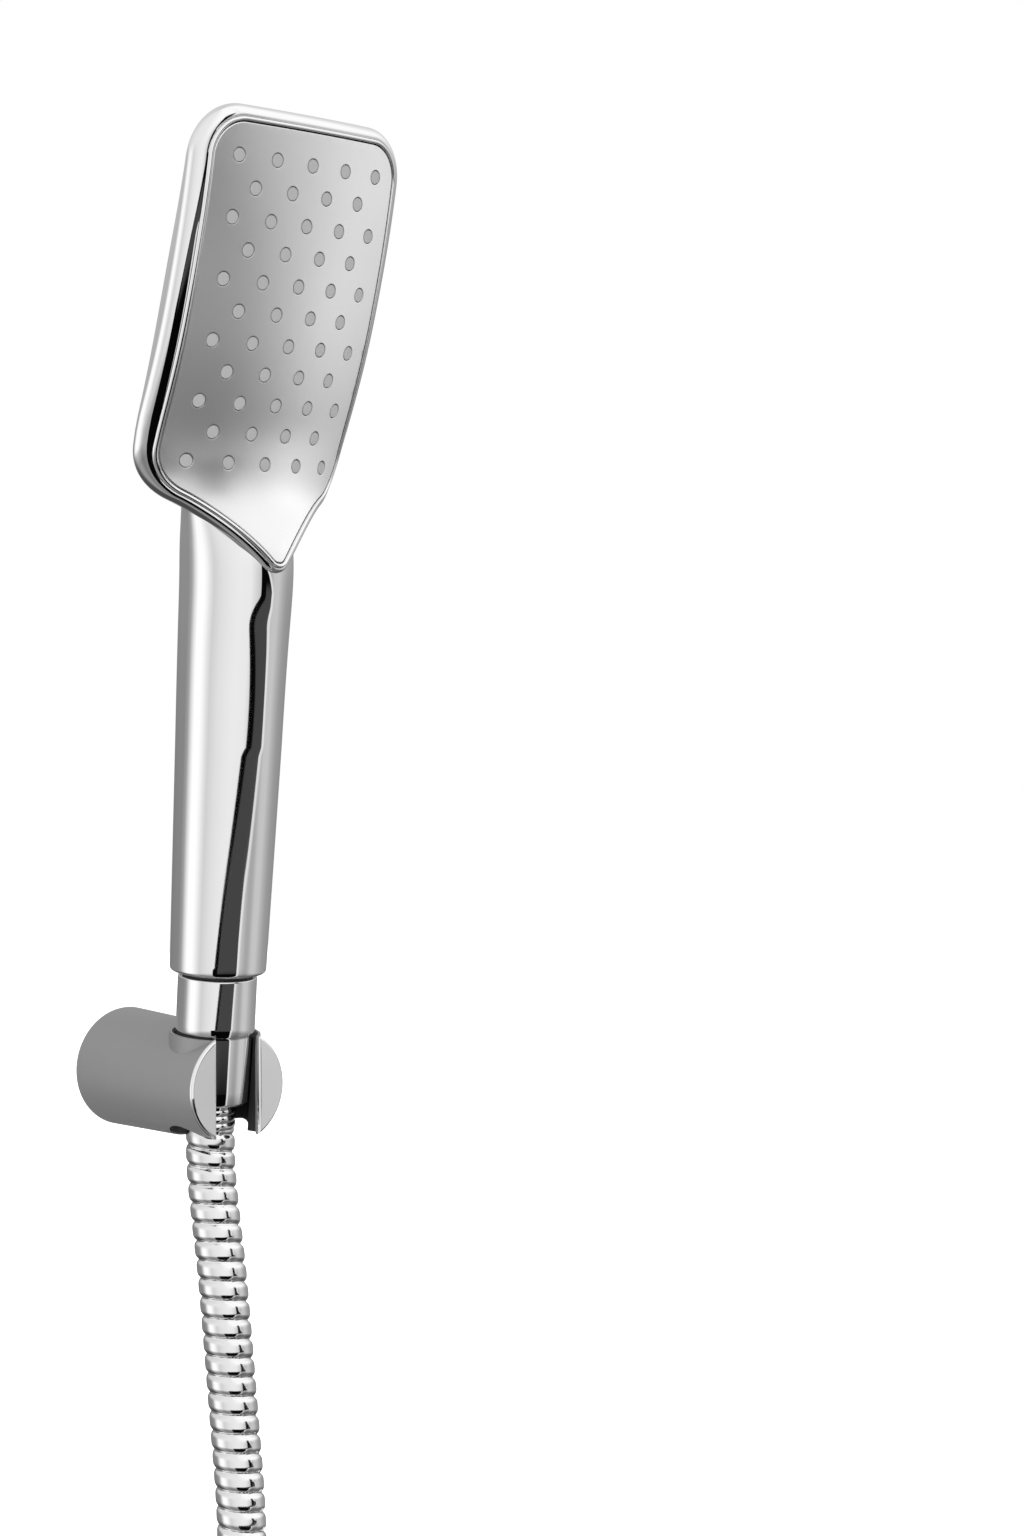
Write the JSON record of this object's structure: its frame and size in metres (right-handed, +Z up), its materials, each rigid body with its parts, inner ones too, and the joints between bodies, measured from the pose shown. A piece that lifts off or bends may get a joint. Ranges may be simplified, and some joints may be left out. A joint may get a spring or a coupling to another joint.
{
  "type": "handheld shower head with hose and wall holder",
  "caption": "Paddle-shaped handheld shower head standing in a round slotted wall holder, with its flexible metal hose coiled below.",
  "frame": {"origin": "centre of the holder's round back face, on the wall's surface", "axes": "+Y points into the wall, along the holder; the room is on the -Y side; +Z is up and runs along the handset, which leans 5 degrees out of the wall; +X is to the right for someone who faces the wall"},
  "size_m": [0.167, 0.0962, 0.5949],
  "materials": {
    "holder_metal": "satin, fine grain, bright bevelled rim",
    "liner_plastic": "fine matt",
    "plate_metal": "plain pressed",
    "dark_steel": "plain",
    "shell_chrome": "polished plating",
    "rim_chrome": "polished plating",
    "face_satin": "pale satin grey",
    "silicone": "soft matt grey",
    "seal_rubber": "matt",
    "white_plastic": "moulded",
    "black_plastic": "moulded, fine matt",
    "green_plastic": "moulded",
    "screw_steel": "plain",
    "nut_chrome": "polished plating",
    "brass_plain": "turned",
    "hose_cover": "rubber tube inside a bright spiral metal cover",
    "tie_plastic": "nylon strap"
  },
  "bodies": {
    "bracket": {"holder_body": "holder_metal", "socket_liner": "liner_plastic", "wall_plate": "plate_metal", "grub_screw": "dark_steel"},
    "hose": {"swivel_insert": "brass_plain", "hose_sleeve": "nut_chrome", "hose_tube": "hose_cover", "hose_coil": "hose_cover", "coil_ties": "tie_plastic", "supply_sleeve": "nut_chrome", "supply_insert": "brass_plain"},
    "handset": {"rear_shell": "shell_chrome", "front_rim": "rim_chrome", "face_plate": "face_satin", "nozzle_mat": "silicone", "chamber_gasket": "seal_rubber", "spray_chamber": "white_plastic", "chamber_screws": "screw_steel", "water_tube": "white_plastic", "tube_orings": "seal_rubber", "inlet_fitting": "black_plastic", "filter_screen": "screw_steel", "flow_regulator": "green_plastic", "check_valve_body": "white_plastic", "check_valve_spring": "screw_steel", "cone_nut": "nut_chrome", "nut_washer": "seal_rubber"},
    "poppet": {"check_valve_poppet": "black_plastic"},
    "wall_nut": {"supply_nut": "nut_chrome", "supply_washer": "seal_rubber"}
  },
  "joints": [
    {"name": "lift_out", "type": "slide", "parent": "bracket", "child": "hose", "axis": [0, -0.0872, 0.9962], "range_m": [0, 0.04]},
    {"name": "handset_swivel", "type": "hinge", "parent": "hose", "child": "handset", "pos_m": [0, -0.046, 0], "axis": [0, -0.0872, 0.9962], "continuous": true},
    {"name": "check_valve", "type": "slide", "parent": "handset", "child": "poppet", "axis": [0, -0.0872, 0.9962], "range_m": [0, 0.002], "stiffness_N_per_m": 150, "springref_m": -0.004, "deforming": ["check_valve_spring"]},
    {"name": "supply_swivel", "type": "hinge", "parent": "hose", "child": "wall_nut", "pos_m": [-0.027, -0.0156, -0.3], "axis": [0, 0, 1], "continuous": true}
  ]
}
